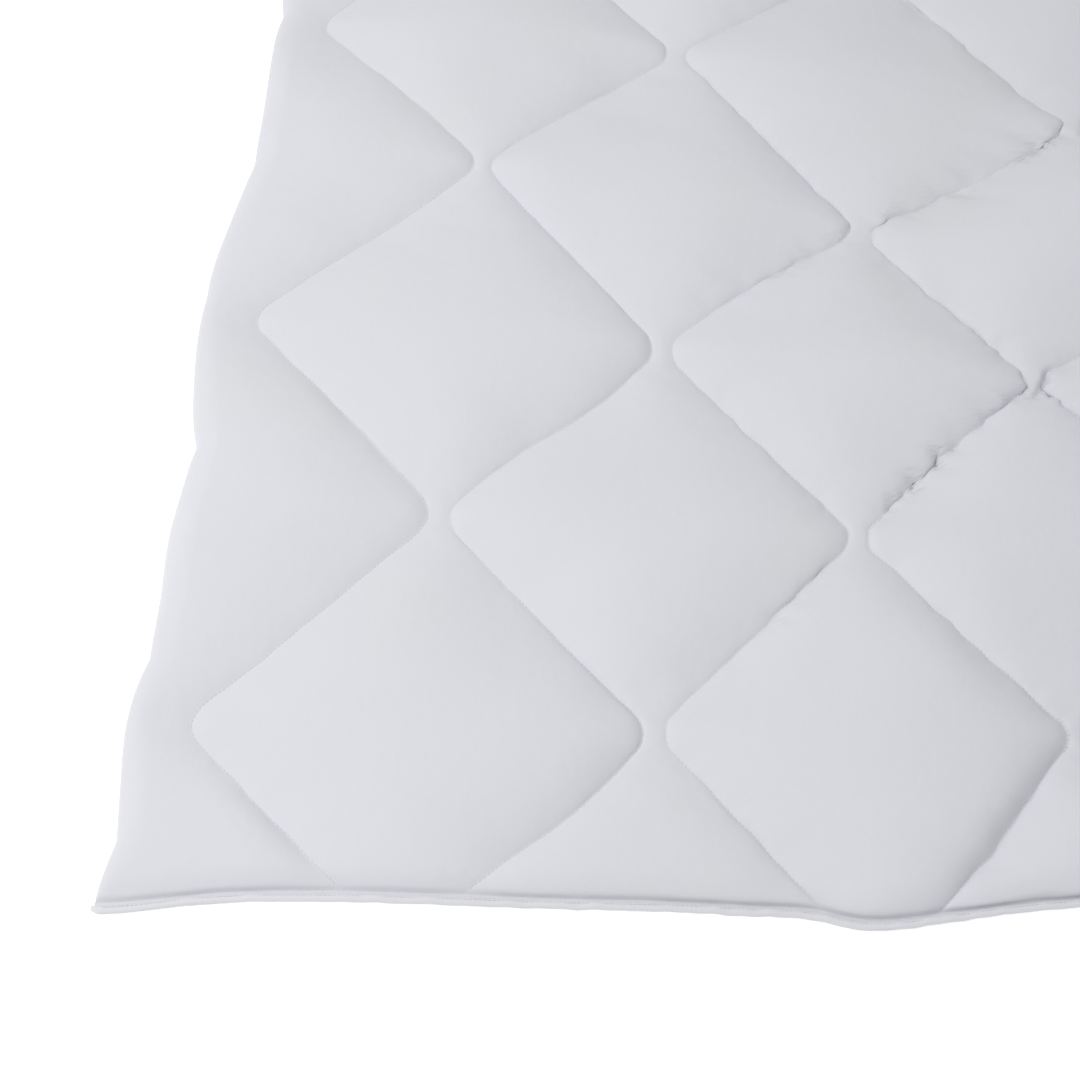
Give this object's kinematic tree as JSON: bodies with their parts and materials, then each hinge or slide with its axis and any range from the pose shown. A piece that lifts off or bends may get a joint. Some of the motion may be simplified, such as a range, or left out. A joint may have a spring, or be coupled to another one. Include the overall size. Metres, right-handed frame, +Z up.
{
  "type": "quilted duvet",
  "caption": "Rectangular filled duvet lying flat, sewn through in chains of rounded diamonds, with turned long sides and narrow bound hems at its two ends.",
  "frame": {"origin": "middle of the outline, on the surface that the duvet lies on", "axes": "+X across the width, +Y along the length from the front hem to the back hem, +Z up"},
  "size_m": [1.3664, 2.0312, 0.0444],
  "materials": {
    "shell": "matt, finely woven white cotton with a faint cool tone",
    "binding": "matt woven white tape"
  },
  "bodies": {
    "root": {"duvet_body": "shell", "binding_front": "binding", "binding_back": "binding"}
  },
  "joints": []
}
